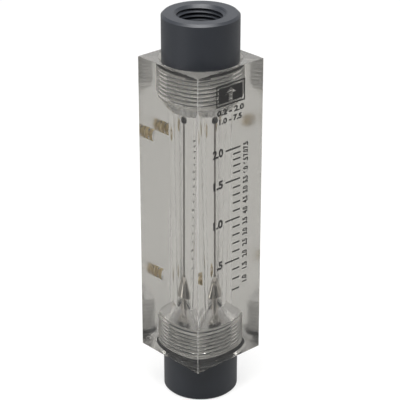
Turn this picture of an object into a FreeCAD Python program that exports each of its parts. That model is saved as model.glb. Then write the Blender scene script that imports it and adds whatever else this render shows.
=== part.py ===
"""Acrylic block rotameter: a clear flow body with a tapered bore, a guided steel float,
threaded PVC adapters at both ends and brass inserts for panel mounting.

Millimetres.  +Z is up and is the flow direction.  The origin is the centre of the inlet
adapter's end face, on which the meter stands.  The scale face of the body looks along -Y
and the panel face, with the inserts, along +Y.
"""
import FreeCAD, Part
import math
import os

from FreeCAD import Vector

# ---------------------------------------------------------------- driving dimensions
# clear flow body
BODY_SIDE = 38.1              # square section
BODY_LENGTH = 140.75
BODY_EDGE_BEVEL = 0.45        # along the four long edges

# tapered measuring bore
BORE_INLET_R = 6.36           # small end of the taper
BORE_OUTLET_R = 9.0           # large end of the taper

# adapter sockets at both ends of the body
SEAT_MOUTH_R = 18.1           # 45 degree seal seat, where it opens at the end face
SOCKET_ROOT_R = 15.65         # root of the female thread
SOCKET_DRILL_R = 14.65        # crest of the female thread, and the drilled hole beyond it
THREAD_START = 3.6            # first thread root, from the end face
THREAD_PITCH = 25.4 / 14.0
THREAD_TURNS = 7
SOCKET_DEPTH = 17.6           # drilled to full diameter, from the end face
SOCKET_CONE_ANGLE = 100.0     # of the drill's point, between socket and bore

# PVC adapters
ADAPTER_R = 16.95
ADAPTER_EXPOSED = 20.0        # stands out of the body
ADAPTER_EDGE_CHAMFER = 1.0
NOSE_REACH = 16.2             # end of the nose, from the body's end face
NOSE_EDGE_CHAMFER = 0.5
NOSE_NECK_R = 14.4            # plain neck that carries the seal
THREAD_CLEARANCE = 0.05
SEAT_CLEARANCE = 0.02         # shoulder edge to seal seat
PORT_R = 9.9                  # female pipe thread at its mean radius
PORT_DEPTH = 19.0
PORT_DRILL_ANGLE = 118.0
PORT_MOUTH_R = 11.35
PASSAGE_R = 7.4               # through passage beyond the port

# seal rings, squeezed into the seats
SEAL_CLEARANCE = 0.03
SEAL_LIP = 0.35               # rounded outer edge, taken as a short flat
SEAL_LOWER_R = 15.2
SEAL_DEPTH = 3.3              # far side of the ring, from the end face

# guide rod
ROD_R = 0.8
ROD_SOCKET_DEPTH = 3.0        # held length in each holder's hub
ROD_FIT = 0.02

# rod holders in the adapter noses
HOLDER_R = 9.2
HOLDER_FIT = 0.02
HOLDER_THICKNESS = 3.0
HOLDER_RIM = 1.5
HOLDER_HUB_R = 2.6
HOLDER_HUB_RISE = 0.5         # hub stands proud on the bore side
HOLDER_ARM_WIDTH = 1.7
HOLDER_ARMS = 3

# retaining rings over the holders
RING_RECESS = 0.6             # from the end of the nose
RING_THICKNESS = 0.8
RING_GROOVE_DEPTH = 0.5
RING_LAND = 0.9               # radial width that stands over the holder's rim
RING_GAP_ANGLE = 50.0
RING_EAR_R = 1.2
RING_EAR_HOLE_R = 0.5
RING_FIT = 0.02

# float
FLOAT_EDGE_R = 6.25           # reading edge, the largest diameter
FLOAT_EDGE_HEIGHT = 29.6      # reading edge at rest, above the body's lower end face
FLOAT_BORE_CLEARANCE = 0.07   # on the guide rod
FLOAT_TIP_R = 1.5
FLOAT_TIP_LENGTH = 2.6
FLOAT_CONE_TOP_R = 3.0
FLOAT_CONE_LENGTH = 5.7
FLOAT_EDGE_LAND = 0.3
FLOAT_STEM_R = 2.5
FLOAT_STEM_LENGTH = 4.5
FLOAT_FOOT_TOP_R = 3.6
FLOAT_FOOT_LENGTH = 2.3
FLOAT_FOOT_LAND = 0.4
FLOAT_HEEL_LENGTH = 2.3

# bumper rings on the guide rod
BUMPER_R = 2.5
BUMPER_SECTION = 1.7
BUMPER_FIT = 0.02
UPPER_BUMPER_DEPTH = 28.65    # its lower side, from the body's upper end face

# brass inserts in the panel face
INSERT_R = 2.8
INSERT_LENGTH = 5.0
INSERT_HOLE_R = 1.65
INSERT_GROOVE_WIDTH = 1.0
INSERT_GROOVE_DEPTH = 0.4
INSERT_FIT = 0.02
INSERT_LOWER_HEIGHT = 34.3    # above the body's lower end face, on the centre line
INSERT_RISE = 69.85           # from the lower insert up to the pair
INSERT_PAIR_SPACING = 19.4

# ---------------------------------------------------------------- derived places
BODY_BOTTOM = ADAPTER_EXPOSED
BODY_TOP = BODY_BOTTOM + BODY_LENGTH
HALF_SIDE = BODY_SIDE / 2.0
OVERALL = BODY_TOP + ADAPTER_EXPOSED

SOCKET_CONE_SLOPE = math.tan(math.radians(SOCKET_CONE_ANGLE / 2.0))
PORT_DRILL_SLOPE = math.tan(math.radians(PORT_DRILL_ANGLE / 2.0))
THREAD_END = THREAD_START + (THREAD_TURNS - 0.5) * THREAD_PITCH
SHOULDER_DEPTH = SEAT_MOUTH_R - ADAPTER_R - SEAT_CLEARANCE
POCKET_R = HOLDER_R + HOLDER_FIT
RING_OUTER_FACE = NOSE_REACH - RING_RECESS
HOLDER_TOP = RING_OUTER_FACE - RING_THICKNESS
HOLDER_FLOOR = HOLDER_TOP - HOLDER_THICKNESS
HUB_TOP = HOLDER_TOP + HOLDER_HUB_RISE

LOWER_STOP_TOP = HUB_TOP + BUMPER_SECTION
UPPER_STOP_BOTTOM = BODY_LENGTH - UPPER_BUMPER_DEPTH
FLOAT_TOP = FLOAT_EDGE_HEIGHT + FLOAT_CONE_LENGTH + FLOAT_TIP_LENGTH


# ---------------------------------------------------------------- helpers
def revolved(profile):
    """Solid of a closed (radius, z) profile turned about the meter's axis."""
    points = [Vector(r, 0, z) for r, z in profile]
    face = Part.Face(Part.makePolygon(points + points[:1]))
    return face.revolve(Vector(0, 0, 0), Vector(0, 0, 1), 360)


def at_inlet(profile):
    """Turn depths below the body's lower end face into heights."""
    return [(r, BODY_BOTTOM + depth) for r, depth in profile]


def at_outlet(profile):
    """Turn depths below the body's upper end face into heights."""
    return [(r, BODY_TOP - depth) for r, depth in profile]


ENDS = {"inlet": at_inlet, "outlet": at_outlet}


def thread_flanks(root_r, crest_r):
    """Zigzag of the socket thread from its first root to its last crest, by depth."""
    flanks = []
    for turn in range(THREAD_TURNS):
        root_depth = THREAD_START + turn * THREAD_PITCH
        flanks.append((root_r, root_depth))
        flanks.append((crest_r, root_depth + THREAD_PITCH / 2.0))
    return flanks


# ---------------------------------------------------------------- clear flow body
def socket_profile(bore_r):
    """One adapter socket as (radius, depth), from the end face to the bore."""
    seat_foot = SEAT_MOUTH_R - SOCKET_ROOT_R
    point = (SOCKET_DRILL_R - bore_r) / SOCKET_CONE_SLOPE
    return ([(SEAT_MOUTH_R, 0.0), (SOCKET_ROOT_R, seat_foot)]
            + thread_flanks(SOCKET_ROOT_R, SOCKET_DRILL_R)
            + [(SOCKET_DRILL_R, SOCKET_DEPTH), (bore_r, SOCKET_DEPTH + point)])


def insert_places():
    """Centre (x, z) of each panel insert, by node name."""
    lower = BODY_BOTTOM + INSERT_LOWER_HEIGHT
    upper = lower + INSERT_RISE
    half = INSERT_PAIR_SPACING / 2.0
    return {"lower_insert": (0.0, lower),
            "upper_left_insert": (-half, upper),
            "upper_right_insert": (half, upper)}


def flow_body():
    block = Part.makeBox(BODY_SIDE, BODY_SIDE, BODY_LENGTH,
                         Vector(-HALF_SIDE, -HALF_SIDE, BODY_BOTTOM))
    long_edges = [edge for edge in block.Edges if abs(edge.tangentAt(0).z) > 0.99]
    block = block.makeChamfer(BODY_EDGE_BEVEL, long_edges)
    wall = at_inlet(socket_profile(BORE_INLET_R))
    wall += list(reversed(at_outlet(socket_profile(BORE_OUTLET_R))))
    passage = revolved([(0.0, BODY_BOTTOM)] + wall + [(0.0, BODY_TOP)])
    block = block.cut(passage)
    for x, z in insert_places().values():
        seat = Vector(x, HALF_SIDE - INSERT_LENGTH, z)
        block = block.cut(Part.makeCylinder(INSERT_R + INSERT_FIT, INSERT_LENGTH, seat,
                                            Vector(0, 1, 0)))
    return block


# ---------------------------------------------------------------- PVC adapters
def adapter_profile():
    """Adapter as (radius, depth); negative depths stand out of the body."""
    outer_end = -ADAPTER_EXPOSED
    port_floor = outer_end + PORT_DEPTH
    chamfer = ADAPTER_EDGE_CHAMFER
    nose_root_r = SOCKET_DRILL_R - THREAD_CLEARANCE
    outside = [(PORT_MOUTH_R, outer_end),
               (ADAPTER_R - chamfer, outer_end),
               (ADAPTER_R, outer_end + chamfer),
               (ADAPTER_R, SHOULDER_DEPTH),
               (NOSE_NECK_R, SHOULDER_DEPTH),
               (NOSE_NECK_R, THREAD_START)]
    outside += thread_flanks(SOCKET_ROOT_R - THREAD_CLEARANCE, nose_root_r)
    outside += [(nose_root_r, NOSE_REACH - NOSE_EDGE_CHAMFER),
                (nose_root_r - NOSE_EDGE_CHAMFER, NOSE_REACH)]
    groove_r = POCKET_R + RING_GROOVE_DEPTH
    inside = [(POCKET_R, NOSE_REACH),
              (POCKET_R, RING_OUTER_FACE),
              (groove_r, RING_OUTER_FACE),
              (groove_r, HOLDER_TOP),
              (POCKET_R, HOLDER_TOP),
              (POCKET_R, HOLDER_FLOOR),
              (PASSAGE_R, HOLDER_FLOOR),
              (PASSAGE_R, port_floor + (PORT_R - PASSAGE_R) / PORT_DRILL_SLOPE),
              (PORT_R, port_floor),
              (PORT_R, outer_end + PORT_MOUTH_R - PORT_R)]
    return outside + inside


def seal_profile():
    """Squeezed seal ring between neck, shoulder and seat, as (radius, depth)."""
    inner_r = NOSE_NECK_R + SEAL_CLEARANCE
    near = SHOULDER_DEPTH + SEAL_CLEARANCE
    seat = SEAT_MOUTH_R - math.sqrt(2.0) * SEAL_CLEARANCE
    wall_r = SOCKET_ROOT_R - SEAL_CLEARANCE
    return [(inner_r, near),
            (seat - near - 2.0 * SEAL_LIP, near),
            (seat - near - SEAL_LIP, near + SEAL_LIP),
            (wall_r, seat - wall_r),
            (SEAL_LOWER_R, SEAL_DEPTH),
            (inner_r, SEAL_DEPTH)]


# ---------------------------------------------------------------- rod holders and rings
def holder(place):
    """Three-armed spider with a blind hub socket for the guide rod."""
    inner_r = HOLDER_R - HOLDER_RIM
    rim = revolved(place([(inner_r, HOLDER_FLOOR), (HOLDER_R, HOLDER_FLOOR),
                          (HOLDER_R, HOLDER_TOP), (inner_r, HOLDER_TOP)]))
    hub = revolved(place([(0.0, HOLDER_FLOOR), (HOLDER_HUB_R, HOLDER_FLOOR),
                          (HOLDER_HUB_R, HUB_TOP), (0.0, HUB_TOP)]))
    low = min(place([(0.0, HOLDER_FLOOR), (0.0, HOLDER_TOP)]), key=lambda p: p[1])[1]
    solid = rim.fuse(hub)
    for number in range(HOLDER_ARMS):
        arm = Part.makeBox(inner_r + HOLDER_RIM / 2.0, HOLDER_ARM_WIDTH, HOLDER_THICKNESS,
                           Vector(0, -HOLDER_ARM_WIDTH / 2.0, low))
        arm.rotate(Vector(0, 0, 0), Vector(0, 0, 1), number * 360.0 / HOLDER_ARMS)
        solid = solid.fuse(arm)
    socket_r = ROD_R + ROD_FIT
    floor = HUB_TOP - ROD_SOCKET_DEPTH
    socket = revolved(place([(0.0, floor), (socket_r, floor),
                             (socket_r, HUB_TOP + 1.0), (0.0, HUB_TOP + 1.0)]))
    return solid.cut(socket).removeSplitter()


def retaining_ring(place):
    """Internal retaining ring with two drilled ears, sprung into the nose groove."""
    outer_r = POCKET_R + RING_GROOVE_DEPTH - RING_FIT
    inner_r = POCKET_R - RING_LAND
    near = HOLDER_TOP + RING_FIT
    far = RING_OUTER_FACE - RING_FIT
    ring = revolved(place([(inner_r, near), (outer_r, near), (outer_r, far), (inner_r, far)]))
    low = min(place([(0.0, near), (0.0, far)]), key=lambda p: p[1])[1]
    thickness = far - near
    reach = 2.0 * outer_r
    half_gap = math.radians(RING_GAP_ANGLE / 2.0)
    corners = [Vector(0, 0, low),
               Vector(reach, -reach * math.tan(half_gap), low),
               Vector(reach, reach * math.tan(half_gap), low)]
    gap = Part.Face(Part.makePolygon(corners + corners[:1])).extrude(Vector(0, 0, thickness))
    ring = ring.cut(gap)
    ear_centre_r = inner_r - RING_EAR_R + RING_LAND / 2.0
    ear_angle = half_gap + math.asin(RING_EAR_R / ear_centre_r)
    for side in (-1, 1):
        centre = Vector(ear_centre_r * math.cos(ear_angle),
                        side * ear_centre_r * math.sin(ear_angle), low)
        ear = Part.makeCylinder(RING_EAR_R, thickness, centre)
        ring = ring.fuse(ear).cut(Part.makeCylinder(RING_EAR_HOLE_R, thickness, centre))
    return ring.removeSplitter()


# ---------------------------------------------------------------- guide rod, bumpers, float
def guide_rod():
    low = BODY_BOTTOM + HUB_TOP - ROD_SOCKET_DEPTH
    high = BODY_TOP - HUB_TOP + ROD_SOCKET_DEPTH
    return Part.makeCylinder(ROD_R, high - low, Vector(0, 0, low))


def bumper(low):
    """Small ring on the guide rod, its lower side at a height above the body's end face."""
    inner_r = ROD_R + BUMPER_FIT
    middle_r = (inner_r + BUMPER_R) / 2.0
    lip = BUMPER_SECTION * 0.29
    z = BODY_BOTTOM + low
    return revolved([(inner_r, z + lip), (middle_r - lip / 2.0, z), (BUMPER_R - lip, z),
                     (BUMPER_R, z + lip), (BUMPER_R, z + BUMPER_SECTION - lip),
                     (BUMPER_R - lip, z + BUMPER_SECTION),
                     (middle_r - lip / 2.0, z + BUMPER_SECTION),
                     (inner_r, z + BUMPER_SECTION - lip)])


def float_profile():
    """Float at rest as (radius, height above the body's lower end face)."""
    bore_r = ROD_R + FLOAT_BORE_CLEARANCE
    cone_top = FLOAT_EDGE_HEIGHT + FLOAT_CONE_LENGTH
    edge_under = FLOAT_EDGE_HEIGHT - FLOAT_EDGE_LAND
    stem_foot = edge_under - FLOAT_STEM_LENGTH
    foot_edge = stem_foot - FLOAT_FOOT_LENGTH
    foot_under = foot_edge - FLOAT_FOOT_LAND
    return [(bore_r, LOWER_STOP_TOP), (bore_r, FLOAT_TOP),
            (FLOAT_TIP_R, FLOAT_TOP), (FLOAT_TIP_R, cone_top), (FLOAT_CONE_TOP_R, cone_top),
            (FLOAT_EDGE_R, FLOAT_EDGE_HEIGHT), (FLOAT_EDGE_R, edge_under),
            (FLOAT_STEM_R, edge_under), (FLOAT_STEM_R, stem_foot),
            (FLOAT_FOOT_TOP_R, stem_foot),
            (FLOAT_EDGE_R, foot_edge), (FLOAT_EDGE_R, foot_under),
            (FLOAT_STEM_R, foot_under - FLOAT_HEEL_LENGTH),
            (FLOAT_STEM_R, LOWER_STOP_TOP)]


# ---------------------------------------------------------------- panel inserts
def insert(x, z):
    """Brass insert with a holding groove, flush with the panel face."""
    middle = INSERT_LENGTH / 2.0
    half_groove = INSERT_GROOVE_WIDTH / 2.0
    groove_r = INSERT_R - INSERT_GROOVE_DEPTH
    profile = [(INSERT_HOLE_R, 0.0), (INSERT_R, 0.0),
               (INSERT_R, middle - half_groove), (groove_r, middle - half_groove),
               (groove_r, middle + half_groove), (INSERT_R, middle + half_groove),
               (INSERT_R, INSERT_LENGTH), (INSERT_HOLE_R, INSERT_LENGTH)]
    solid = revolved(profile)
    solid.rotate(Vector(0, 0, 0), Vector(1, 0, 0), -90)
    solid.translate(Vector(x, HALF_SIDE - INSERT_LENGTH, z))
    return solid


# ---------------------------------------------------------------- the meter
def build():
    nodes = {"flow_body": flow_body(), "guide_rod": guide_rod()}
    for end, place in ENDS.items():
        nodes[end + "_adapter"] = revolved(place(adapter_profile()))
        nodes[end + "_seal_ring"] = revolved(place(seal_profile()))
        nodes[end + "_rod_holder"] = holder(place)
        nodes[end + "_retaining_ring"] = retaining_ring(place)
    nodes["lower_bumper_ring"] = bumper(HUB_TOP)
    nodes["upper_bumper_ring"] = bumper(UPPER_STOP_BOTTOM)
    nodes["float"] = revolved(at_inlet(float_profile()))
    for name, (x, z) in insert_places().items():
        nodes[name] = insert(x, z)
    return nodes


os.makedirs("parts", exist_ok=True)
for name, shape in build().items():
    shape.exportStep("parts/" + name + ".step")
    print(name, "solids", len(shape.Solids), "valid", shape.isValid(),
          "volume", round(shape.Volume, 1), "faces", len(shape.Faces))
print("overall height", OVERALL, "float travel", round(UPPER_STOP_BOTTOM - FLOAT_TOP, 3))
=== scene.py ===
# %% [markdown]
# # A block rotameter in clear acrylic
# A rotameter shows how fast a liquid flows. The liquid rises through a bore that
# widens upwards, and lifts a steel float until as much of it can pass around the
# float as comes in. The reading is where the float's widest edge stands.
#
# The dimensioned model is loaded first, and it stays the frame for everything here:
# each piece that is made below takes the place of one of its solids, or lies on one.

# %% Load the dimensioned model
import math

import bmesh
import bpy
from mathutils import Matrix, Vector


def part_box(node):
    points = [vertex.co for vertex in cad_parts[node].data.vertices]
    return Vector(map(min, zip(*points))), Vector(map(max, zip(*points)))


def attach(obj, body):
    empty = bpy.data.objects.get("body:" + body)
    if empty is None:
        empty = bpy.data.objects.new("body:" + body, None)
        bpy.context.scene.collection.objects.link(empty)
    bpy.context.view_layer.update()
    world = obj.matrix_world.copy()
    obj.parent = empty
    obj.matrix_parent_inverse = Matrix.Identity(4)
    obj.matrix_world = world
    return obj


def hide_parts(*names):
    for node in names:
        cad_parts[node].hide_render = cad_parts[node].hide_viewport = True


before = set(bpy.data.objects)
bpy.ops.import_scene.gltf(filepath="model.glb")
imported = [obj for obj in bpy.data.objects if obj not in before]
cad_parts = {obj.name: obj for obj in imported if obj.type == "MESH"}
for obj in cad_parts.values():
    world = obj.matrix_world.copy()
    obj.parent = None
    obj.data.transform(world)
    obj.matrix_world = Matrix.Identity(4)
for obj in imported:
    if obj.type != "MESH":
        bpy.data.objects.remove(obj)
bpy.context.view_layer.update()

print("nodes", sorted(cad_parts))

# %% [markdown]
# ## Places and sizes
# The lengths of the big pieces are read from the model, so that the pieces made here
# sit exactly where it says. The small sizes that its boxes don't tell, such as a thread's
# depth, are written down once, in millimetres, and turned to metres when a mesh is made.

# %% Places from the model, in millimetres
MM = 0.001


def placed(name, data):
    """A new object in the scene."""
    made = bpy.data.objects.new(name, data)
    bpy.context.scene.collection.objects.link(made)
    return made


def finished(bm, name):
    """The mesh that was being built in bm."""
    mesh = bpy.data.meshes.new(name)
    bm.to_mesh(mesh)
    bm.free()
    return mesh


def box_mm(node):
    """Lowest and highest corner of a node, in millimetres."""
    low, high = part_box(node)
    return [value / MM for value in low], [value / MM for value in high]


body_low, body_high = box_mm("flow_body")
BODY_BOTTOM, BODY_TOP = body_low[2], body_high[2]
BODY_LENGTH = BODY_TOP - BODY_BOTTOM
HALF_SIDE = body_high[0]
SCALE_FACE = body_low[1]
ADAPTER_EXPOSED = BODY_BOTTOM
ADAPTER_R = box_mm("inlet_adapter")[1][0]
print("body from", BODY_BOTTOM, "to", BODY_TOP, "half side", HALF_SIDE, "adapter", ADAPTER_R)

# %% [markdown]
# ## Turned shapes and real threads
# Nearly everything in this meter was turned on a lathe, so one helper makes most of it.
# Blender's Screw modifier could sweep a profile too, but it can't let a thread run out
# into a plain wall. So a profile here is a list of rows, from one end of the surface to
# the other, and each row says, for an angle, at what radius and height the surface is.
# A plain row is the same all round. A thread's rows climb by one pitch a turn, which
# makes a true helix, and they are held back where the thread starts and stops.

# %% Rows of a turned wall
TURN = 2.0 * math.pi
THREAD_FADE = 0.55         # of a pitch: how far a thread takes to start or stop


def plain(*points):
    """Rows that are the same all round, from (radius, height) points."""
    return [lambda angle, point=point: point for point in points]


def thread(start, end, pitch, profile, near_r, far_r, taper=0.0):
    """Rows of a right-hand thread between two heights.

    profile holds (share of a pitch, radius) points. The wall is at near_r before the
    thread and at far_r after it. taper is how much the radius shrinks per millimetre.
    """
    fade = THREAD_FADE * pitch
    rows = []
    for turn in range(-1, math.ceil((end - start) / pitch) + 1):
        for share, radius in profile:
            def row(angle, lead=turn + share, radius=radius):
                z = min(max(start + (lead + angle / TURN) * pitch, start), end)
                near = min((z - start) / fade, 1.0)
                far = min((end - z) / fade, 1.0)
                r = radius - taper * (z - start)
                r = near_r + (r - near_r) * near
                return far_r + (r - far_r) * far, z
            rows.append(row)
    return rows


def sixty_degrees(wide_r, narrow_r):
    """Profile of a 60 degree thread with flats an eighth and a quarter of a pitch wide."""
    return [(0.0, wide_r), (0.125, wide_r), (0.4375, narrow_r), (0.6875, narrow_r)]


def turned_over(rows, length):
    """The same wall seen from the other end of a piece: still a right-hand thread."""
    def flipped(row):
        def other(angle):
            r, z = row(TURN - angle)
            return r, length - z
        return other
    return [flipped(row) for row in reversed(rows)]


print("a thread of 3 turns has", len(thread(0, 3, 1, sixty_degrees(2, 1), 2, 2)), "rows")

# %% The lathe
LATHE_STEPS = 180          # round the big pieces: each facet is 2 degrees
SMALL_STEPS = 64           # round the rings and drills of a few millimetres
WELD = 2e-8                # metres: points nearer than this are one


def lathe(rows, steps=LATHE_STEPS, base=0.0, closed=True):
    """Mesh of the rows swept round the meter's axis, its rows' heights added to base."""
    bm = bmesh.new()
    grid = []
    for step in range(steps + 1):
        angle = TURN * step / steps
        column = []
        for row in rows:
            r, z = row(angle)
            column.append(bm.verts.new(Vector((r * math.cos(angle), r * math.sin(angle),
                                               base + z)) * MM))
        grid.append(column)
    last = len(rows) if closed else len(rows) - 1
    for left, right in zip(grid, grid[1:]):
        for i in range(last):
            j = (i + 1) % len(rows)
            bm.faces.new((left[i], right[i], right[j], left[j]))
    bmesh.ops.remove_doubles(bm, verts=bm.verts, dist=WELD)
    bmesh.ops.recalc_face_normals(bm, faces=bm.faces)
    return finished(bm, "turned")


# %% Rounded corners
CORNER_SHARE = 0.45        # of an edge, at most, goes into each of its two corners


def rounded(points, radius, steps=4):
    """A profile's corners rounded off by arcs, as a lathe tool or a mould leaves them."""
    smooth = []
    count = len(points)
    for i, point in enumerate(points):
        here = Vector(point)
        before = Vector(points[i - 1]) - here
        after = Vector(points[(i + 1) % count]) - here
        reach = min(radius, CORNER_SHARE * before.length,
                    CORNER_SHARE * after.length)
        start = here + before.normalized() * reach
        end = here + after.normalized() * reach
        for step in range(steps + 1):
            t = step / steps
            mixed = start.lerp(here, t).lerp(here.lerp(end, t), t)
            smooth.append((mixed.x, mixed.y))
    return smooth


print("a rounded square has", len(rounded([(0, 0), (1, 0), (1, 1), (0, 1)], 0.1)), "points")

# %% [markdown]
# ## From a mesh to a piece of the meter
# A mesh is only a shape. To become a piece it needs an object in the scene, a material,
# and a body that it rides on, so that it moves with that body. It also says which solid
# of the model it stands for, and that solid is then hidden. Its shading is smooth, but
# edges sharper than the lathe's own facets stay crisp.

# %% Make a piece
SHARP_ANGLE = math.radians(24.0)


def piece(name, mesh, material, body="meter", stands_for=()):
    """Puts a mesh into the scene, smooth but for its real edges, and hangs it on a body."""
    mesh.name = name
    for polygon in mesh.polygons:
        polygon.use_smooth = True
    mesh.set_sharp_from_angle(angle=SHARP_ANGLE)
    mesh.materials.clear()
    mesh.materials.append(material)
    made = placed(name, mesh)
    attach(made, body)
    if stands_for:
        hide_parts(*stands_for)
    print(name, len(mesh.polygons), "faces")
    return made


print("edges sharper than", round(math.degrees(SHARP_ANGLE)), "degrees stay crisp")

# %% [markdown]
# ## Materials
# Colours are given as the sRGB hex values that a colour picker shows. Blender's shaders
# want linear light, so one function turns them. Another adds a node with its settings
# and its links, so that each material below reads as a list of what it is made of.
#
# Each pattern is a noise whose grains have a size in millimetres. The real sizes given
# are typical of such surfaces, not measured. Most are finer than a hair and wouldn't
# show, so where a pattern is drawn coarser than it is, its line says so.

# %% Colour and node helpers
def linear(hex_code):
    """Linear RGBA of an sRGB hex colour."""
    channels = [int(hex_code[i:i + 2], 16) / 255.0 for i in (1, 3, 5)]
    return [c / 12.92 if c <= 0.04045 else ((c + 0.055) / 1.055) ** 2.4
            for c in channels] + [1.0]


def add_node(tree, kind, inputs=None, **settings):
    """Adds a node. An input is a value, or another node's output socket to link."""
    node = tree.nodes.new(kind)
    for name, value in settings.items():
        setattr(node, name, value)
    for name, value in (inputs or {}).items():
        if isinstance(value, bpy.types.NodeSocket):
            tree.links.new(value, node.inputs[name])
        else:
            node.inputs[name].default_value = value
    return node


def new_material(name):
    """An empty node material and its tree."""
    material = bpy.data.materials.new(name)
    material.use_nodes = True
    material.node_tree.nodes.clear()
    return material, material.node_tree


print("brass yellow in linear light", [round(c, 3) for c in linear("#D8C08E")])

# %% [markdown]
# ### Cast acrylic, in eight finishes
# The body is one block of cast acrylic (PMMA). It bends light with an index of 1.49, so
# the rod and the float show twice, once through each front face. Light that meets a face
# from inside at more than 42 degrees from square on is mirrored back into the block.
#
# What differs from place to place is how the surface was made. The two faces that are
# looked through are polished. The other two were sawn and sanded, the end faces turned,
# the bore reamed, and the drill left a duller cone. A tap cuts clean on one flank of the
# thread and tears the other one white, and the scraper that broke the long edges left
# them white too. Eight materials would repeat one another. So one recipe takes the
# roughness, the tint and the share of white, and each face of the mesh gets the finish
# of the tool that made it.
#
# A block this thick isn't quite clear: light that has crossed it comes out a warm grey.
# Volume absorption could give that, but it is slow and noisy. All light passes an outer
# face on its way in and another on its way out, so those faces carry the grey instead.

# %% Material: cast acrylic
ACRYLIC_IOR = 1.49
CLEAR = "#FFFFFF"
THROUGH_BLOCK = "#A7A5A0"      # what is left of white light after crossing the block
THROUGH_END = "#E4E2DE"        # the way in or out through an end face is shorter
FROST = "#F2F1EF"              # broken surface, seen white
TOOL_MARK = 0.12               # mm between tool marks, drawn coarser than the real 0.05
MARK_LENGTH = 50.0             # mm along one mark: it runs on round the piece


def cast_acrylic(finish, roughness, tint, frost, marks):
    """Acrylic with one finish. Marks vary its roughness, ring by ring, by that share."""
    material, tree = new_material("cast_acrylic_" + finish)
    place = add_node(tree, "ShaderNodeTexCoord")
    rings = add_node(tree, "ShaderNodeMapping", {
        "Vector": place.outputs["Object"],
        "Scale": (1 / (MARK_LENGTH * MM), 1 / (MARK_LENGTH * MM), 1 / (TOOL_MARK * MM))})
    lines = add_node(tree, "ShaderNodeTexNoise", {
        "Vector": rings.outputs["Vector"], "Scale": 1.0, "Detail": 2.0})
    rough = add_node(tree, "ShaderNodeMapRange", {
        "Value": lines.outputs["Fac"], "To Min": roughness * (1.0 - marks),
        "To Max": roughness * (1.0 + marks)})
    clear = add_node(tree, "ShaderNodeBsdfPrincipled", {
        "Base Color": linear(tint), "Roughness": rough.outputs["Result"],
        "IOR": ACRYLIC_IOR, "Transmission Weight": 1.0})
    shader = clear.outputs["BSDF"]
    if frost:
        white = add_node(tree, "ShaderNodeBsdfDiffuse", {"Color": linear(FROST)})
        mixed = add_node(tree, "ShaderNodeMixShader", {
            0: frost, 1: shader, 2: white.outputs["BSDF"]})
        shader = mixed.outputs["Shader"]
    add_node(tree, "ShaderNodeOutputMaterial", {"Surface": shader})
    return material


# roughness, tint, share of white, and the share by which marks vary the roughness
FINISH_SETTINGS = {
    "polished": (0.03, THROUGH_BLOCK, 0.0, 0.2),   # sharp: what is inside shows through
    "sanded": (0.22, THROUGH_BLOCK, 0.0, 0.2),     # what is behind it goes soft
    "turned": (0.09, THROUGH_END, 0.0, 0.5),       # a faint silkiness
    "reamed": (0.05, CLEAR, 0.0, 0.4),             # clear, with rings in the highlight
    "drilled": (0.24, CLEAR, 0.0, 0.3),            # smoky
    "torn": (0.20, CLEAR, 0.9, 0.3),               # the thread's bright lines
    "tapped": (0.04, CLEAR, 0.0, 0.5),             # its dark lines: grey shows through
    "scraped": (0.35, CLEAR, 0.3, 0.3),            # the pale line down each long edge
}
FINISHES = {name: cast_acrylic(name, *settings)
            for name, settings in FINISH_SETTINGS.items()}
print("acrylic finishes", list(FINISHES))

# %% [markdown]
# ### Grey PVC, turned
# The adapters are turned from rigid PVC in the usual dark grey. It is an even, bluish
# grey with a satin skin, so light from above lies on it as a wide, soft sheen and never
# as a sharp spot. A slow noise shifts the grey a little, as pigment does, and a fine one
# breaks up the sheen. Rings like the steel's would be too strong: PVC hardly shows them.

# %% Material: grey PVC
PVC_CLOUD = 11.1           # mm, slow changes in the pigment
PVC_GRAIN = 0.714          # mm, drawn coarser than the real 0.05 so that it shows
PVC_RELIEF = 0.04          # mm


def grey_pvc():
    material, tree = new_material("grey_pvc_turned")
    place = add_node(tree, "ShaderNodeTexCoord")
    cloud = add_node(tree, "ShaderNodeTexNoise", {
        "Vector": place.outputs["Object"], "Scale": 1 / (PVC_CLOUD * MM),
        "Detail": 3.0})
    tint = add_node(tree, "ShaderNodeValToRGB", {"Fac": cloud.outputs["Fac"]})
    tint.color_ramp.elements[0].color = linear("#1C2027")
    tint.color_ramp.elements[1].color = linear("#252931")
    grain = add_node(tree, "ShaderNodeTexNoise", {
        "Vector": place.outputs["Object"], "Scale": 1 / (PVC_GRAIN * MM),
        "Detail": 2.0})
    rough = add_node(tree, "ShaderNodeMapRange", {
        "Value": grain.outputs["Fac"], "To Min": 0.40, "To Max": 0.52})
    relief = add_node(tree, "ShaderNodeBump", {
        "Height": grain.outputs["Fac"], "Strength": 0.12,
        "Distance": PVC_RELIEF * MM})
    surface = add_node(tree, "ShaderNodeBsdfPrincipled", {
        "Base Color": tint.outputs["Color"], "Roughness": rough.outputs["Result"],
        "IOR": 1.53, "Normal": relief.outputs["Normal"]})
    add_node(tree, "ShaderNodeOutputMaterial", {"Surface": surface.outputs["BSDF"]})
    return material


pvc = grey_pvc()
print(pvc.name)

# %% [markdown]
# ### Nitrile rubber, moulded
# The seal rings and the bumpers are moulded from black nitrile rubber (NBR). It is nearly
# black and dull, so to the eye it is simply the darkest thing in the block. A flat black
# would look like a hole, and a noise between two near blacks is enough to avoid that.

# %% Material: nitrile rubber
RUBBER_GRAIN = 1.11        # mm, bloom on the rubber, drawn coarser than the real 0.1


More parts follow.
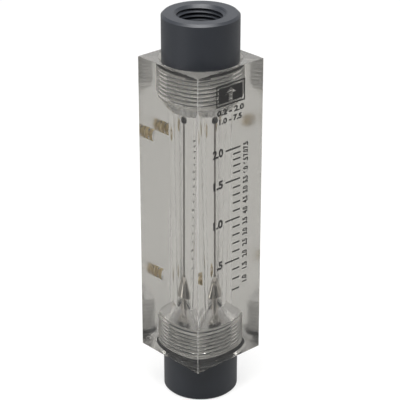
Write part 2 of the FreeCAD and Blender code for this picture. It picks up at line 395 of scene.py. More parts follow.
def nitrile_rubber():
    material, tree = new_material("nitrile_rubber")
    place = add_node(tree, "ShaderNodeTexCoord")
    grain = add_node(tree, "ShaderNodeTexNoise", {
        "Vector": place.outputs["Object"], "Scale": 1 / (RUBBER_GRAIN * MM),
        "Detail": 3.0})
    tint = add_node(tree, "ShaderNodeValToRGB", {"Fac": grain.outputs["Fac"]})
    tint.color_ramp.elements[0].color = linear("#151517")
    tint.color_ramp.elements[1].color = linear("#222224")
    surface = add_node(tree, "ShaderNodeBsdfPrincipled", {
        "Base Color": tint.outputs["Color"], "Roughness": 0.55, "IOR": 1.52})
    add_node(tree, "ShaderNodeOutputMaterial", {"Surface": surface.outputs["BSDF"]})
    return material


rubber = nitrile_rubber()
print(rubber.name)

# %% [markdown]
# ### Stainless steel, turned and drawn
# The float and the retaining rings are turned from stainless steel. A metal has no colour
# but that of what it mirrors, so Metallic is 1 and the base colour tints the mirror
# image. Fine rings run round it, and draw each highlight out along the axis. The guide
# rod is the same steel, left duller by the die, with scratches along it. Its darker base
# colour is painted shade: it stands in for the dark room that the rod mirrors, so that
# it is seen as a thin dark line. Modelling such marks would take millions of faces.
# A noise stretched one way or the other does the same to the light, in one recipe.

# %% Material: stainless steel
RING_SPACING = 0.222       # mm between turned rings, drawn coarser than the real 0.05
RING_LENGTH = 16.7         # mm along one ring
RING_DEPTH = 0.03          # mm
SCRATCH_SPACING = 0.2      # mm between drawn scratches, drawn coarser than the real 0.02
SCRATCH_LENGTH = 11.1      # mm


def stainless_steel(finish, colour, across, along, smooth, rough):
    """Steel with marks so many millimetres across and along the axis."""
    material, tree = new_material("stainless_steel_" + finish)
    place = add_node(tree, "ShaderNodeTexCoord")
    stretch = add_node(tree, "ShaderNodeMapping", {
        "Vector": place.outputs["Object"],
        "Scale": (1 / (across * MM), 1 / (across * MM), 1 / (along * MM))})
    lines = add_node(tree, "ShaderNodeTexNoise", {
        "Vector": stretch.outputs["Vector"], "Scale": 1.0, "Detail": 2.0})
    roughness = add_node(tree, "ShaderNodeMapRange", {
        "Value": lines.outputs["Fac"], "To Min": smooth, "To Max": rough})
    surface = add_node(tree, "ShaderNodeBsdfPrincipled", {
        "Base Color": linear(colour), "Metallic": 1.0,
        "Roughness": roughness.outputs["Result"]})
    if finish == "turned":
        relief = add_node(tree, "ShaderNodeBump", {
            "Height": lines.outputs["Fac"], "Strength": 0.15, "Distance": RING_DEPTH * MM})
        tree.links.new(relief.outputs["Normal"], surface.inputs["Normal"])
    add_node(tree, "ShaderNodeOutputMaterial", {"Surface": surface.outputs["BSDF"]})
    return material


steel = stainless_steel("turned", "#D3CFC9", RING_LENGTH, RING_SPACING, 0.10, 0.20)
# The rod's darker base colour is painted shade, for the dark room that it mirrors.
rod_steel_painted_dark = stainless_steel("drawn", "#85827E", SCRATCH_SPACING, SCRATCH_LENGTH, 0.22, 0.36)
print(steel.name, rod_steel_painted_dark.name)

# %% [markdown]
# ### Brass, turned
# The panel inserts are turned from free-cutting brass and left bare, so the yellow has
# tarnished in small patches: paler and duller here, deeper and shinier there. Through
# the block only a tan of it is left. One noise drives both the colour and the
# roughness, since on a real piece both come from the same patch of tarnish.

# %% Material: brass
TARNISH_PATCH = 1.43       # mm


def knurled_brass():
    material, tree = new_material("brass_turned")
    place = add_node(tree, "ShaderNodeTexCoord")
    tarnish = add_node(tree, "ShaderNodeTexNoise", {
        "Vector": place.outputs["Object"], "Scale": 1 / (TARNISH_PATCH * MM),
        "Detail": 3.0})
    tint = add_node(tree, "ShaderNodeValToRGB", {"Fac": tarnish.outputs["Fac"]})
    tint.color_ramp.elements[0].color = linear("#D8C08E")
    tint.color_ramp.elements[1].color = linear("#F0DFB8")
    rough = add_node(tree, "ShaderNodeMapRange", {
        "Value": tarnish.outputs["Fac"], "To Min": 0.35, "To Max": 0.50})
    surface = add_node(tree, "ShaderNodeBsdfPrincipled", {
        "Base Color": tint.outputs["Color"], "Metallic": 1.0,
        "Roughness": rough.outputs["Result"]})
    add_node(tree, "ShaderNodeOutputMaterial", {"Surface": surface.outputs["BSDF"]})
    return material


brass = knurled_brass()
print(brass.name)

# %% [markdown]
# ### Screen-printing ink
# The scale is pressed through a mesh with black ink. It dries to a flat, warm black that
# is a little uneven where the mesh let less through. A plain black would do for the thin
# ticks, but the big field beside the arrow would look cut out of card.

# %% Material: screen-printing ink
MESH_SPACING = 0.4         # mm, drawn coarser than a real screen's 0.1


def screen_ink():
    material, tree = new_material("black_screen_ink")
    place = add_node(tree, "ShaderNodeTexCoord")
    wear = add_node(tree, "ShaderNodeTexNoise", {
        "Vector": place.outputs["Object"], "Scale": 1 / (MESH_SPACING * MM),
        "Detail": 2.0})
    tint = add_node(tree, "ShaderNodeValToRGB", {"Fac": wear.outputs["Fac"]})
    tint.color_ramp.elements[0].color = linear("#0F0E0E")
    tint.color_ramp.elements[1].color = linear("#1D1B1A")
    surface = add_node(tree, "ShaderNodeBsdfPrincipled", {
        "Base Color": tint.outputs["Color"], "Roughness": 0.5})
    add_node(tree, "ShaderNodeOutputMaterial", {"Surface": surface.outputs["BSDF"]})
    return material


ink = screen_ink()
print(ink.name)

# %% [markdown]
# ## The acrylic body
# The body is made as it is in the workshop: a square bar with its edges broken, then
# bored and tapped from both ends, then drilled for the three panel inserts. No one sweep
# makes a shape that is square outside and round inside. So the tools' shapes are meshes,
# and the exact boolean takes them away from the bar.

# %% Sizes of the bore and the sockets, in millimetres
EDGE_BEVEL = 0.2           # along the four long edges, scraped
END_BEVEL = 0.12           # round the end faces
SEAT_MOUTH_R = 18.1        # the seat for the seal ring, where it meets the end face
ROOT_R = 15.65             # bottom of the socket's thread
DRILL_R = 14.65            # its crests, which are what the drill left
THREAD_START = 3.0
THREAD_END = 16.6
PITCH = 25.4 / 14.0        # 14 turns an inch
SOCKET_DEPTH = 17.6
SOCKET_CONE_ANGLE = 100.0  # degrees, left by the drill's tip
BORE_INLET_R = 6.36        # the bore widens from here
BORE_OUTLET_R = 9.0        # to here
TOOL_OVERRUN = 0.5         # tools start outside the block, so that they cut through

SOCKET_THREAD = sixty_degrees(ROOT_R, DRILL_R)


def socket_rows(bore_r):
    """One adapter socket, from outside its end face down to the bore."""
    point = (DRILL_R - bore_r) / math.tan(math.radians(SOCKET_CONE_ANGLE / 2))
    return (plain((0.0, -TOOL_OVERRUN),
                  (SEAT_MOUTH_R + TOOL_OVERRUN, -TOOL_OVERRUN),
                  (ROOT_R, SEAT_MOUTH_R - ROOT_R))
            + thread(THREAD_START, THREAD_END, PITCH, SOCKET_THREAD, ROOT_R, DRILL_R)
            + plain((DRILL_R, SOCKET_DEPTH), (bore_r, SOCKET_DEPTH + point)))


print("one socket has", len(socket_rows(BORE_INLET_R)), "rows")

# %% The bar and its tools
def bar():
    """The square bar with broken edges."""
    bm = bmesh.new()
    bmesh.ops.create_cube(bm, size=1.0)
    bmesh.ops.scale(bm, verts=bm.verts, vec=Vector((2 * HALF_SIDE, 2 * HALF_SIDE,
                                                    BODY_LENGTH)) * MM)
    bmesh.ops.translate(bm, verts=bm.verts,
                        vec=Vector((0, 0, (BODY_BOTTOM + BODY_TOP) / 2)) * MM)
    long_edges = [e for e in bm.edges
                  if abs(e.verts[0].co.z - e.verts[1].co.z) > BODY_LENGTH * MM / 2]
    bmesh.ops.bevel(bm, geom=long_edges, offset=EDGE_BEVEL * MM, segments=1,
                    affect="EDGES", clamp_overlap=True)
    end_edges = [e for e in bm.edges
                 if abs(e.verts[0].co.z - e.verts[1].co.z) < MM]
    bmesh.ops.bevel(bm, geom=end_edges, offset=END_BEVEL * MM, segments=1,
                    affect="EDGES", clamp_overlap=True)
    return finished(bm, "bar")


def cut(mesh, tools):
    """The mesh with every tool taken away from it."""
    work = placed("work", mesh)
    helpers = []
    for tool in tools:
        cutter = placed("tool", tool)
        helpers.append(cutter)
        step = work.modifiers.new("cut", "BOOLEAN")
        step.operation = "DIFFERENCE"
        step.solver = "EXACT"
        step.object = cutter
    done = bpy.data.meshes.new_from_object(
        work.evaluated_get(bpy.context.evaluated_depsgraph_get()))
    for helper in [work] + helpers:
        bpy.data.objects.remove(helper)
    return done


passage_rows = (socket_rows(BORE_INLET_R)
                + turned_over(socket_rows(BORE_OUTLET_R), BODY_LENGTH))
passage = lathe(passage_rows, base=BODY_BOTTOM, closed=False)
print("bore and sockets", len(passage.polygons), "faces")

# %% [markdown]
# ### Holes for the panel inserts
# The meter is screwed to a panel by three brass inserts in the face opposite the scale.
# Their knurls bite into the acrylic, with no air between. If the hole were as wide as
# the insert, that thin film of air would mirror and hide the brass, so it is narrower.

# %% Holes for the panel inserts, and the body
INSERTS = ["lower_insert", "upper_left_insert", "upper_right_insert"]
INSERT_R = 2.8
INSERT_BITE = 0.14         # how far the knurl bites into the acrylic
INSERT_LENGTH = 5.0
INSERT_DRILL_TIP = 0.8


def insert_centre(name):
    """Place of an insert's axis on the panel face."""
    low, high = box_mm(name)
    return Vector(((low[0] + high[0]) / 2, HALF_SIDE, (low[2] + high[2]) / 2))


def into_panel_face(mesh, centre):
    """Turns a mesh made along +Z to point into the panel face at a place on it."""
    place = Matrix.Translation(centre * MM) @ Matrix.Rotation(math.pi / 2, 4, "X")
    mesh.transform(place)
    return mesh


insert_drill_rows = plain((0.0, -TOOL_OVERRUN), (INSERT_R - INSERT_BITE, -TOOL_OVERRUN),
                          (INSERT_R - INSERT_BITE, INSERT_LENGTH),
                          (0.0, INSERT_LENGTH + INSERT_DRILL_TIP))
insert_drills = []
for name in INSERTS:
    drill = lathe(insert_drill_rows, steps=SMALL_STEPS, closed=False)
    insert_drills.append(into_panel_face(drill, insert_centre(name)))
body_piece = piece("acrylic_body", cut(bar(), [passage] + insert_drills),
                   FINISHES["polished"], stands_for=["flow_body"])

# %% [markdown]
# ### The finish of each face
# The boolean leaves one mesh, so the tool that made a face is told from where it is and
# how it leans. Picking faces by hand would have to be done again after each change.

# %% Each face of the body gets its finish
NEAR = 0.03                # mm: how near to a surface counts as on it
FLANK_TILT = 0.3           # a thread's flanks lean more than this, its flats don't


def finish_of(centre, normal):
    """Name of the finish of the body's surface at a place, in millimetres."""
    x, y, z = centre
    radius = math.hypot(x, y)
    depth = min(z - BODY_BOTTOM, BODY_TOP - z)
    outer = max(abs(x), abs(y)) > HALF_SIDE - EDGE_BEVEL - NEAR
    if depth < NEAR:
        return "turned"
    if outer and min(abs(normal.x), abs(normal.y)) > FLANK_TILT:
        return "scraped"
    if outer:
        return "polished" if x + y < 0.0 else "sanded"
    if radius > ROOT_R + NEAR:
        return "turned" if depth < SEAT_MOUTH_R - ROOT_R + NEAR else "drilled"
    if depth < SOCKET_DEPTH and radius > DRILL_R - 2.0 * NEAR:
        torn = normal.z < -FLANK_TILT or radius > ROOT_R - NEAR
        return "torn" if torn or depth > THREAD_END else "tapped"
    return "drilled" if radius > BORE_OUTLET_R + NEAR else "reamed"


body_mesh = body_piece.data
for material in list(FINISHES.values())[1:]:
    body_mesh.materials.append(material)
order = list(FINISHES)
counted = dict.fromkeys(order, 0)
for polygon in body_mesh.polygons:
    finish = finish_of(polygon.center / MM, polygon.normal)
    polygon.material_index = order.index(finish)
    counted[finish] += 1
print("faces by finish", counted)

# %% [markdown]
# ## The PVC adapters
# An adapter screws into each end and carries a pipe. Its nose has an outside thread that
# fits the body's, and its port has a taper thread for the pipe, which tightens as it goes
# in. A pocket in the nose takes the rod holder, with a groove for the ring that keeps it.
# A plain tube would do if the block hid it, but clear acrylic hides nothing: the nose's
# thread gives each socket its dark turns. So the whole profile is turned at once.

# %% Sizes of the adapters, in millimetres
NOSE_ROOT_R = 14.6
NOSE_CREST_R = 15.6
NOSE_NECK_R = 14.4         # where the seal ring sits
NOSE_REACH = 16.2
NOSE_CHAMFER = 0.5
NOSE_THREAD_STOP = 0.6     # before the nose's end
SHOULDER_GAP = 0.02        # between the shoulder and the seat
SHOULDER_DEPTH = SEAT_MOUTH_R - ADAPTER_R - SHOULDER_GAP
PORT_DEPTH = 19.0
PORT_MOUTH_R = 11.35
PORT_CREST_R = 9.55
PORT_ROOT_R = 10.75
PORT_FLOOR_R = PORT_CREST_R - 0.6
PORT_FLOOR_CONE = 1.5      # length of the cone from the port's floor to the passage
PORT_RELIEF = 2.0          # plain wall between the pipe thread and the port's floor
PORT_TAPER = 1.0 / 32.0    # of radius for each millimetre of depth
PASSAGE_R = 7.4
POCKET_R = 9.22
GROOVE_DEPTH = 0.5
HOLDER_FLOOR = 11.8
HOLDER_TOP = 14.8
RING_OUTER_FACE = 15.6
ADAPTER_CHAMFER = 1.0

NOSE_THREAD = sixty_degrees(NOSE_CREST_R, NOSE_ROOT_R)
PIPE_THREAD = [(0.0, PORT_ROOT_R), (0.06, PORT_ROOT_R), (0.5, PORT_CREST_R),
               (0.56, PORT_CREST_R)]
print("shoulder", round(SHOULDER_DEPTH, 2), "mm inside the end face")


# %% The adapters
def adapter_rows():
    """One adapter, as (radius, depth) below the body's end face."""
    outer = -ADAPTER_EXPOSED
    floor = outer + PORT_DEPTH
    outside = plain((PORT_MOUTH_R, outer), (ADAPTER_R - ADAPTER_CHAMFER, outer),
                    (ADAPTER_R, outer + ADAPTER_CHAMFER), (ADAPTER_R, SHOULDER_DEPTH),
                    (NOSE_NECK_R, SHOULDER_DEPTH), (NOSE_NECK_R, THREAD_START))
    nose = thread(THREAD_START, NOSE_REACH - NOSE_THREAD_STOP, PITCH, NOSE_THREAD,
                  NOSE_NECK_R, NOSE_ROOT_R)
    pocket = plain((NOSE_ROOT_R, NOSE_REACH - NOSE_CHAMFER),
                   (NOSE_ROOT_R - NOSE_CHAMFER, NOSE_REACH),
                   (POCKET_R, NOSE_REACH), (POCKET_R, RING_OUTER_FACE),
                   (POCKET_R + GROOVE_DEPTH, RING_OUTER_FACE),
                   (POCKET_R + GROOVE_DEPTH, HOLDER_TOP), (POCKET_R, HOLDER_TOP),
                   (POCKET_R, HOLDER_FLOOR), (PASSAGE_R, HOLDER_FLOOR),
                   (PASSAGE_R, floor + PORT_FLOOR_CONE), (PORT_FLOOR_R, floor))
    lead = outer + PORT_MOUTH_R - PORT_ROOT_R
    port = thread(lead, floor - PORT_RELIEF, PITCH, PIPE_THREAD, PORT_ROOT_R, PORT_FLOOR_R,
                  taper=PORT_TAPER)
    return outside + nose + pocket + list(reversed(port))


def at_both_ends(rows, kind, material, solid):
    """One turned piece at the inlet, and the same one turned over at the outlet."""
    for end, wall in (("inlet", rows), ("outlet", turned_over(rows, BODY_LENGTH))):
        piece(end + "_" + kind, lathe(wall, base=BODY_BOTTOM), material,
              stands_for=[end + "_" + solid])


at_both_ends(adapter_rows(), "adapter_pvc", pvc, "adapter")

# %% [markdown]
# ## The seal rings
# A rubber ring is squeezed between each adapter's shoulder and the cone of its seat. It
# starts out round, but once it is squeezed it takes the shape of the corner, and that
# is how it is drawn. It wets the acrylic, so it is pressed a hair into the seat: with
# air between them, the seat would mirror the room, and the black ring wouldn't show.

# %% The seal rings
SEAL_IN_R = 14.42
SEAL_LOWER_R = 15.3
SEAL_DEPTH = 3.25
SEAL_LIP = 0.3
SEAL_GAP = 0.03            # between the ring and the shoulder
SEAL_PRESS = 0.06          # the squeezed ring wets the seat and the wall


def seal_rows():
    """A round ring pressed into the corner between neck, shoulder and seat."""
    near = SHOULDER_DEPTH + SEAL_GAP
    seat = SEAT_MOUTH_R + SEAL_PRESS
    wall = ROOT_R + SEAL_PRESS
    corners = [(SEAL_IN_R, near), (seat - near - SEAL_LIP, near),
               (seat - near, near + SEAL_LIP / 2), (wall, seat - wall),
               (wall, SEAL_DEPTH - SEAL_LIP), (SEAL_LOWER_R, SEAL_DEPTH),
               (SEAL_IN_R, SEAL_DEPTH)]
    return plain(*rounded(corners, SEAL_LIP / 2))


at_both_ends(seal_rows(), "seal", rubber, "seal_ring")

# %% [markdown]
# ## The guide rod and its bumper rings
# A thin rod down the middle of the bore guides the float, and a rubber ring at each end
# of its travel stops it softly. A cylinder would do for the rod, but real rod ends are
# chamfered, and it costs two more rows. The rings are rounded as moulded rubber is.

# %% The guide rod and its bumper rings
ROD_R = 0.8
ROD_CHAMFER = 0.15
ROD_STEPS = 48
BUMPER_GAP = 0.02          # between the ring and the rod
BUMPER_ROUNDING = 0.7
rod_low, rod_high = box_mm("guide_rod")
rod_rows = plain((0.0, rod_low[2]), (ROD_R - ROD_CHAMFER, rod_low[2]),
                 (ROD_R, rod_low[2] + ROD_CHAMFER), (ROD_R, rod_high[2] - ROD_CHAMFER),
                 (ROD_R - ROD_CHAMFER, rod_high[2]), (0.0, rod_high[2]))
piece("steel_rod", lathe(rod_rows, steps=ROD_STEPS, closed=False), rod_steel_painted_dark,
      stands_for=["guide_rod"])
for name in ("lower_bumper_ring", "upper_bumper_ring"):
    low, high = box_mm(name)
    inside = ROD_R + BUMPER_GAP
    corners = [(inside, low[2]), (high[0], low[2]), (high[0], high[2]), (inside, high[2])]
    ring = lathe(plain(*rounded(corners, BUMPER_ROUNDING, steps=6)), steps=SMALL_STEPS)
    piece(name + "_rubber", ring, rubber, stands_for=[name])

# %% [markdown]
# ## The float
# The float is turned from one piece: a foot, a waist, the wide edge that is read against
# the scale, and a cone up to a small button. It is the only part that moves, so it rides
# on its own body. Sharp corners would be simpler, but the tenth of a millimetre that the
# tool leaves on them is what catches the light.

# %% The float
float_low, float_high = box_mm("float")
FLOAT_BOTTOM, FLOAT_TOP = float_low[2], float_high[2]
FLOAT_R = float_high[0]
FLOAT_BORE_R = 0.87        # slides on the rod
WAIST_R = 2.5
FOOT_WIDE = (2.3, 2.7)     # heights between which the foot is as wide as the edge
FOOT_TOP = 5.0
FOOT_TOP_R = 3.6
EDGE_BELOW_TOP = 8.3
EDGE_LAND = 0.3            # width of the edge that is read
CONE_LENGTH = 5.7
CONE_TOP_R = 3.0
BUTTON_R = 1.5
FLOAT_ROUNDING = 0.12
FLOAT_STEPS = 128


def float_profile():
    """The float's corners from its foot up."""
    top = FLOAT_TOP - FLOAT_BOTTOM
    edge = top - EDGE_BELOW_TOP
    foot = [(FLOAT_BORE_R, 0.0), (WAIST_R, 0.0), (FLOAT_R, FOOT_WIDE[0]),
            (FLOAT_R, FOOT_WIDE[1]), (FOOT_TOP_R, FOOT_TOP)]
    waist = [(WAIST_R, FOOT_TOP), (WAIST_R, edge - EDGE_LAND)]
    head = [(FLOAT_R, edge - EDGE_LAND), (FLOAT_R, edge), (CONE_TOP_R, edge + CONE_LENGTH)]
    button = [(BUTTON_R, edge + CONE_LENGTH), (BUTTON_R, top), (FLOAT_BORE_R, top)]
    return foot + waist + head + button


float_rows = plain(*rounded(float_profile(), FLOAT_ROUNDING, steps=2))
print("float", round(FLOAT_TOP - FLOAT_BOTTOM, 2), "mm long")
piece("steel_float", lathe(float_rows, base=FLOAT_BOTTOM, steps=FLOAT_STEPS), steel,
      body="float", stands_for=["float"])

# %% [markdown]
# ## Rod holders and retaining rings
# A three-armed holder in each adapter carries the rod, and a ring in a groove keeps it
# there. Both lie deep in the dark adapters. The model's own solids are true enough for
# that, so they are kept, and only get their materials.

# %% Rod holders and retaining rings keep their model shapes
KEPT_SOLIDS = {"inlet_rod_holder": pvc, "outlet_rod_holder": pvc,
               "inlet_retaining_ring": steel, "outlet_retaining_ring": steel}
for name, material in KEPT_SOLIDS.items():
    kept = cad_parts[name].data.materials
    kept.clear()
    kept.append(material)
    print(name, "in", material.name)

# %% [markdown]
# ## The brass inserts
# Each insert is a short brass bush with a screw thread inside and a knurl outside, so
# that it can't turn in the plastic, and a groove, so that it can't be pulled out. The
# knurl could be a bump in the material, but it is seen from the side through the block,
# where its outline shows. So its ridges are in the rows: the radius goes in and out.

# %% Brass inserts
INSERT_GROOVE = (2.0, 3.0)     # from the panel face
INSERT_GROOVE_DEPTH = 0.4
KNURL_RIDGES = 36
STEPS_A_RIDGE = 6
KNURL_DEPTH = 0.12
SCREW_PITCH = 0.7
SCREW_ROOT_R = 2.0
SCREW_CREST_R = 1.65
SCREW_THREAD = sixty_degrees(SCREW_ROOT_R, SCREW_CREST_R)
INSERT_CHAMFER = 0.2


def knurled(*points):
    """Rows whose radius goes in and out round the piece, as a straight knurl does."""
    def ridge(point):
        def row(angle):
            bite = KNURL_DEPTH * (0.5 + 0.5 * math.cos(KNURL_RIDGES * angle))
            return point[0] - bite, point[1]
        return row
    return [ridge(point) for point in points]


def insert_rows():
    """A knurled insert with a holding groove and an M4 thread, its face at height 0."""
    first, last = INSERT_GROOVE
    floor = INSERT_R - INSERT_GROOVE_DEPTH
    outside = (plain((SCREW_ROOT_R + INSERT_CHAMFER, 0.0), (INSERT_R - INSERT_CHAMFER, 0.0))
               + knurled((INSERT_R, INSERT_CHAMFER), (INSERT_R, first))
               + plain((floor, first), (floor, last))
               + knurled((INSERT_R, last), (INSERT_R, INSERT_LENGTH - INSERT_CHAMFER))
               + plain((INSERT_R - INSERT_CHAMFER, INSERT_LENGTH),
                       (SCREW_ROOT_R + INSERT_CHAMFER, INSERT_LENGTH)))
    inside = thread(INSERT_CHAMFER, INSERT_LENGTH - INSERT_CHAMFER, SCREW_PITCH, SCREW_THREAD,
                    SCREW_ROOT_R, SCREW_ROOT_R)
    return outside + list(reversed(inside))


for name in INSERTS:
    insert = lathe(insert_rows(), steps=STEPS_A_RIDGE * KNURL_RIDGES)
    piece(name + "_brass", into_panel_face(insert, insert_centre(name)), brass,
          stands_for=[name])

# %% [markdown]
# ## The printed scale
# The scale is ink on the front face. Its ticks aren't evenly spaced: the bore widens
# evenly, but the gap around the float doesn't grow evenly with it, so each tick has its
# own height. Each mark is a thin mesh just clear of the face. A texture would blur when
# it is looked at closely, and ink exactly on the face would flicker with it.

# %% Ticks
INK_GAP = 0.015            # mm in front of the scale face
INK_THICKNESS = 0.01
# reading, and its height above the body's end face
TICKS = {2.0: 103.8, 1.9: 101.2, 1.8: 98.55, 1.7: 95.6, 1.6: 92.3, 1.5: 88.9, 1.4: 85.3,
         1.3: 81.7, 1.2: 77.95, 1.1: 74.1, 1.0: 70.2, 0.9: 66.3, 0.8: 62.3, 0.7: 58.3,
         0.6: 54.2, 0.5: 49.9, 0.4: 45.4, 0.3: 40.6, 0.2: 35.2}
MAJOR_TICK = (-2.9, 5.8)   # from left to right, at each number
MINOR_TICK = (1.55, 5.9)
TICK_WIDTH = 0.75


def flat_print(name, outlines):
    """Thin ink on the scale face from flat (x, height above the body) outlines."""
    bm = bmesh.new()
    y = SCALE_FACE - INK_GAP
    for outline in outlines:
        corners = [bm.verts.new(Vector((x, y, BODY_BOTTOM + z)) * MM) for x, z in outline]
        bm.faces.new(corners)
    thick = bmesh.ops.extrude_face_region(bm, geom=bm.faces[:])
    moved = [v for v in thick["geom"] if isinstance(v, bmesh.types.BMVert)]
    bmesh.ops.translate(bm, verts=moved, vec=Vector((0, -INK_THICKNESS, 0)) * MM)
    bmesh.ops.recalc_face_normals(bm, faces=bm.faces)
    return piece(name, finished(bm, name), ink)


def bar_outline(x0, z0, x1, z1):
    """A rectangle between two corners."""
    return [(x0, z0), (x1, z0), (x1, z1), (x0, z1)]


ticks = []
for reading, height in TICKS.items():
    x0, x1 = MAJOR_TICK if reading * 10 % 5 == 0 else MINOR_TICK
    ticks.append(bar_outline(x0, height - TICK_WIDTH / 2, x1, height + TICK_WIDTH / 2))
flat_print("scale_ticks", ticks)

# %% [markdown]
# ## The numbers
# Blender's own font gives plain figures. Printed ones are squeezed into the room there
# is, so each number is stretched to fill a box, and its strokes are made bolder, since
# ink spreads. They are turned to meshes at once, so that nothing depends on a font later.

# %% Numbers of the main scale
BOLDER = 0.045             # of the letter size, added all round each stroke
FONT_DEPTH = 0.005         # of the letter size: only later made as thick as the ink
NUMBER_RIGHT = -4.4
NUMBER_HEIGHT = 4.0
# text, reading, and where its box starts on the left
MAIN_NUMBERS = (("2.0", 2.0, -10.4), ("1.5", 1.5, -10.0), ("1.0", 1.0, -10.0),
                (".5", 0.5, -7.9))


def number(text, x0, z0, width, height, upright=True):
    """A number that fills a box on the scale face; not upright reads from below up."""
    font = bpy.data.curves.new("number", "FONT")
    font.body = text
    font.offset = BOLDER
    font.extrude = FONT_DEPTH
    shape = placed("number", font)
    mesh = bpy.data.meshes.new_from_object(
        shape.evaluated_get(bpy.context.evaluated_depsgraph_get()))
    bpy.data.objects.remove(shape)
    low = Vector([min(v.co[i] for v in mesh.vertices) for i in range(3)])
    high = Vector([max(v.co[i] for v in mesh.vertices) for i in range(3)])
    long_side, short_side = (width, height) if upright else (height, width)
    for v in mesh.vertices:
        along = (v.co.x - low.x) / (high.x - low.x) * long_side
        across = (v.co.y - low.y) / (high.y - low.y) * short_side
        out = (v.co.z - low.z) / (high.z - low.z) * INK_THICKNESS
        x, z = (along, across) if upright else (width - across, along)
        v.co = Vector((x0 + x, SCALE_FACE - INK_GAP - out, BODY_BOTTOM + z0 + z)) * MM
    return mesh


def joined(meshes):
    """Several meshes as one."""
    bm = bmesh.new()
    for mesh in meshes:
        bm.from_mesh(mesh)
    return finished(bm, "joined")


main_numbers = []
for text, reading, left in MAIN_NUMBERS:
    main_numbers.append(number(text, left, TICKS[reading] - NUMBER_HEIGHT / 2,
                               NUMBER_RIGHT - left, NUMBER_HEIGHT))
piece("scale_numbers", joined(main_numbers), ink)

# %% [markdown]
# ## The second scale
# Along the right of the ticks runs a column of small numbers in litres a minute, set on
# their sides. They have no ticks of their own, so the height of each is worked out from
# the main scale, which is in gallons. Placing them by eye would be quicker, and wrong.

# %% The second scale
def height_of(reading):
    """Height on the scale of a reading between the printed ticks."""
    known = sorted(TICKS.items())
    for (q0, z0), (q1, z1) in zip(known, known[1:]):
        if q0 <= reading <= q1:
            return z0 + (z1 - z0) * (reading - q0) / (q1 - q0)


LITRES_PER_GALLON = 3.785
LITRE_LEFT, LITRE_WIDTH, LITRE_LENGTH = 7.5, 3.0, 3.3
litre_numbers = []
for half_litres in range(2, 16):
    height = height_of(half_litres / 2.0 / LITRES_PER_GALLON)
    litre_numbers.append(number(str(half_litres / 2.0), LITRE_LEFT, height - LITRE_LENGTH / 2,
                                LITRE_WIDTH, LITRE_LENGTH, False))
piece("litre_numbers", joined(litre_numbers), ink)

# %% [markdown]
# ## The flow arrow in its frame, and the ranges
# Above the scale a black field with a clear arrow in it shows which way the liquid runs,
# and below it stand the ranges of both scales. The arrow isn't printed: it is what the
# ink leaves bare. So the field is one outline that runs round the arrow, from below,
# which needs no boolean.

# %% The flow arrow in its frame, and both ranges below it
FRAME = (-8.6, 124.8, 8.2, 134.7)      # left, bottom, right and top
LINE = 0.7                             # width of the frame's line
FIELD_MARGIN = 1.5                     # from the frame's outside to the black field
ARROW_STEM, ARROW_HEAD, ARROW_NECK = 1.1, 3.2, 3.6     # half widths, and the stem's height
ARROW_TIP_GAP = 0.5                    # from the tip to the field's top
RANGE_HEIGHT = 2.7
# text, how much narrower than the frame on each side, and how far below it
RANGES = (("0.2 - 2.0", 0.6, 4.0), ("1.0 - 7.5", 1.8, 8.0))
x0, z0, x1, z1 = FRAME
xm = (x0 + x1) / 2
flat_print("flow_frame", [
    bar_outline(x0, z0, x1, z0 + LINE), bar_outline(x0, z1 - LINE, x1, z1),
    bar_outline(x0, z0 + LINE, x0 + LINE, z1 - LINE),
    bar_outline(x1 - LINE, z0 + LINE, x1, z1 - LINE)])
low, high = z0 + FIELD_MARGIN, z1 - FIELD_MARGIN
flat_print("flow_field", [[
    (x0 + FIELD_MARGIN, low), (x0 + FIELD_MARGIN, high), (x1 - FIELD_MARGIN, high),
    (x1 - FIELD_MARGIN, low), (xm + ARROW_STEM, low), (xm + ARROW_STEM, low + ARROW_NECK),
    (xm + ARROW_HEAD, low + ARROW_NECK), (xm, high - ARROW_TIP_GAP),
    (xm - ARROW_HEAD, low + ARROW_NECK), (xm - ARROW_STEM, low + ARROW_NECK),
    (xm - ARROW_STEM, low)]])
ranges = [number(text, x0 + inset, z0 - drop, x1 - x0 - 2 * inset, RANGE_HEIGHT)
          for text, inset, drop in RANGES]
piece("range_numbers", joined(ranges), ink)

# %% [markdown]
# ## The camera
# The meter stands upright and is seen from its left front corner, from a little above,
# with a long lens, as small things are for a catalogue. The camera is placed by its
# angles and its distance from a point near the axis. A typed-in place would work too,
# but angles can be reasoned about.

# %% The camera
CAMERA_DISTANCE = 0.7416       # metres from the point it looks at
CAMERA_AZIMUTH = math.radians(42.4)    # from the scale face's front towards -X
CAMERA_ELEVATION = math.radians(24.91)
AIM_HEIGHT = 0.09347           # metres above the floor
AIM_SIDE = -0.000275           # metres to the camera's right
LENS = 150.35                  # mm, for a sensor 36 mm wide

camera = placed("camera", bpy.data.cameras.new("camera"))
camera.data.lens = LENS
camera.data.sensor_width = 36.0
camera.data.clip_start = 0.05
right = Vector((math.cos(CAMERA_AZIMUTH), -math.sin(CAMERA_AZIMUTH), 0.0))
away = Vector((-math.sin(CAMERA_AZIMUTH) * math.cos(CAMERA_ELEVATION),
               -math.cos(CAMERA_AZIMUTH) * math.cos(CAMERA_ELEVATION),
               math.sin(CAMERA_ELEVATION)))
aim = Vector((0.0, 0.0, AIM_HEIGHT)) + right * AIM_SIDE
camera.location = aim + away * CAMERA_DISTANCE
camera.rotation_euler = (-away).to_track_quat("-Z", "Y").to_euler()
bpy.context.scene.camera = camera
print("camera at", [round(value, 4) for value in camera.location])

# %% [markdown]
# ## The floor
# It stands on white paper that is lit until it is pure white, with only a soft shadow at
# the foot. Enough lamps for that would wash out the grey plastic. So the paper is a mid
# grey that catches the shadow, with a glow that only the eye sees: straight, through the
# acrylic, and more weakly in a reflection.

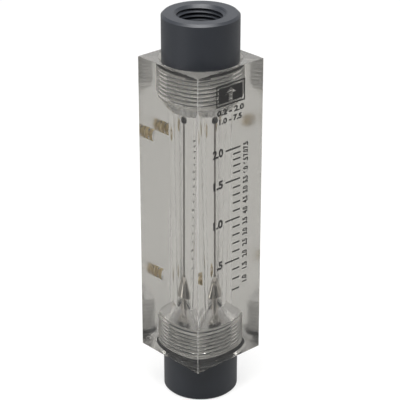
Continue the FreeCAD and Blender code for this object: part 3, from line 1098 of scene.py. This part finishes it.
# %% The floor
FLOOR_REACH = 4.0              # metres from the middle to each edge
FLOOR_GLOW = 0.74
floor_mesh = bpy.data.meshes.new("floor")
floor_mesh.from_pydata([(-FLOOR_REACH, -FLOOR_REACH, 0), (FLOOR_REACH, -FLOOR_REACH, 0),
                        (FLOOR_REACH, FLOOR_REACH, 0), (-FLOOR_REACH, FLOOR_REACH, 0)],
                       [], [(0, 1, 2, 3)])
floor = placed("floor", floor_mesh)
print("floor", 2 * FLOOR_REACH, "m wide")

# %% Material: white paper
MIRRORED_SHARE = 0.35          # of the glow, for the floor seen in a reflection


def white_sweep():
    material, tree = new_material("white_paper_sweep")
    light_path = add_node(tree, "ShaderNodeLightPath")
    mirrored = add_node(tree, "ShaderNodeMath", {
        0: light_path.outputs["Is Glossy Ray"], 1: MIRRORED_SHARE}, operation="MULTIPLY")
    seen = add_node(tree, "ShaderNodeMath", {
        0: light_path.outputs["Is Camera Ray"], 1: mirrored.outputs[0]},
        operation="MAXIMUM")
    seen = add_node(tree, "ShaderNodeMath", {
        0: seen.outputs[0], 1: light_path.outputs["Is Transmission Ray"]},
        operation="MAXIMUM")
    paper = add_node(tree, "ShaderNodeBsdfDiffuse", {"Color": linear("#858584")})
    glow = add_node(tree, "ShaderNodeMath", {0: seen.outputs[0], 1: FLOOR_GLOW},
                    operation="MULTIPLY")
    lift = add_node(tree, "ShaderNodeEmission", {"Strength": glow.outputs[0]})
    both = add_node(tree, "ShaderNodeAddShader", {
        0: paper.outputs["BSDF"], 1: lift.outputs["Emission"]})
    add_node(tree, "ShaderNodeOutputMaterial", {"Surface": both.outputs["Shader"]})
    return material


floor_mesh.materials.append(white_sweep())
print("floor in", floor_mesh.materials[0].name)

# %% [markdown]
# ## The room
# A clear block shows what stands around it more than it shows itself. In an evenly white
# room its edges would vanish. So the room is bright behind the meter, and falls off to
# nearly dark on the camera's side, and those dark parts draw the edges and the thread.
# A picture of a studio could light it, but one direction is all that it takes.

# %% The world
DARK_SIDE = (-0.60, -0.80, 0.0)        # roughly where the camera stands
BRIGHT_LEVEL, DARK_LEVEL = 0.95, 0.05
FALL_OFF = 0.9                         # how far towards each side the level changes

world = bpy.data.worlds.new("studio")
bpy.context.scene.world = world
world.use_nodes = True
sky = world.node_tree
sky.nodes.clear()
direction = add_node(sky, "ShaderNodeTexCoord")
towards_front = add_node(sky, "ShaderNodeVectorMath", {
    0: direction.outputs["Generated"], 1: DARK_SIDE}, operation="DOT_PRODUCT")
level = add_node(sky, "ShaderNodeMapRange", {
    "Value": towards_front.outputs["Value"], "From Min": -FALL_OFF,
    "From Max": FALL_OFF, "To Min": BRIGHT_LEVEL, "To Max": DARK_LEVEL})
light = add_node(sky, "ShaderNodeBackground", {"Color": linear("#FFFFFF"),
                                               "Strength": level.outputs["Result"]})
add_node(sky, "ShaderNodeOutputWorld", {"Surface": light.outputs["Background"]})
print("room from", DARK_LEVEL, "to", BRIGHT_LEVEL)

# %% [markdown]
# ## The lamps
# Three softboxes: a big one above puts the wide sheen on the grey plastic, a tall one to
# the left brightens that face, and a weak one to the right keeps the scale's face from
# looking flat. Point lamps would make hard, small spots.

# %% The lamps
LAMP_AIM = (0, 0, 0.09)
# name, place in metres, width, height and watts
SOFTBOXES = (("top_softbox", (-0.22, -0.22, 1.15), 0.8, 0.8, 19.0),
             ("left_softbox", (-1.1, 0.1, 0.5), 0.5, 0.9, 4.4),
             ("right_softbox", (0.9, -0.6, 0.5), 0.3, 0.9, 1.2))


def softbox(name, place, width, height, watts):
    """A rectangular lamp that looks at the meter."""
    lamp = bpy.data.lights.new(name, "AREA")
    lamp.shape = "RECTANGLE"
    lamp.size, lamp.size_y = width, height
    lamp.energy = watts
    holder = placed(name, lamp)
    holder.location = place
    towards = Vector(LAMP_AIM) - Vector(place)
    holder.rotation_euler = towards.to_track_quat("-Z", "Y").to_euler()
    print(name, watts, "W")


for settings in SOFTBOXES:
    softbox(*settings)

# %% [markdown]
# ## How light is followed
# A ray crosses the block's faces, the bore and the threads many times before it comes
# out, and one that is given up on the way is black. So more bounces are allowed than
# Blender's twelve. The Standard view leaves the colours as they were picked.

# %% View and bounces
scene = bpy.context.scene
scene.view_settings.view_transform = "Standard"
scene.cycles.max_bounces = 32
scene.cycles.transmission_bounces = 28
scene.cycles.glossy_bounces = 24
print("up to", scene.cycles.max_bounces, "bounces")
